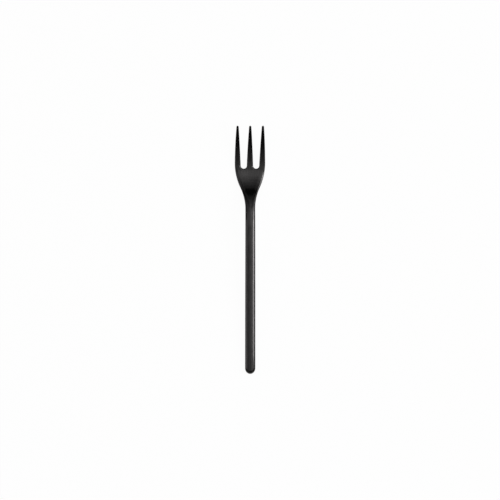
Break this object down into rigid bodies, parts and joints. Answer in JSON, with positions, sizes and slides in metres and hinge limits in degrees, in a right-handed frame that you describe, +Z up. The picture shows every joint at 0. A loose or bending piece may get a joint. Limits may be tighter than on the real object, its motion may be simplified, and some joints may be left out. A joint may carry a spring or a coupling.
{
  "type": "cake fork",
  "caption": "Slim cake fork with tapered up-curved tines, a shallow dished palm, an arched neck and a rounded bar handle, for cutting and lifting pieces of cake.",
  "frame": {"origin": "on the table, under the middle of the fork's box, with the fork lying tines up", "axes": "+Y along the fork from the handle's end to the tips, +X across the tines, +Z up from the table"},
  "size_m": [0.0184, 0.15, 0.0092],
  "materials": {
    "black_coated_steel": "thin satin black coat on finely brushed stainless steel"
  },
  "bodies": {
    "root": {"head": "black_coated_steel", "handle": "black_coated_steel"}
  },
  "joints": []
}
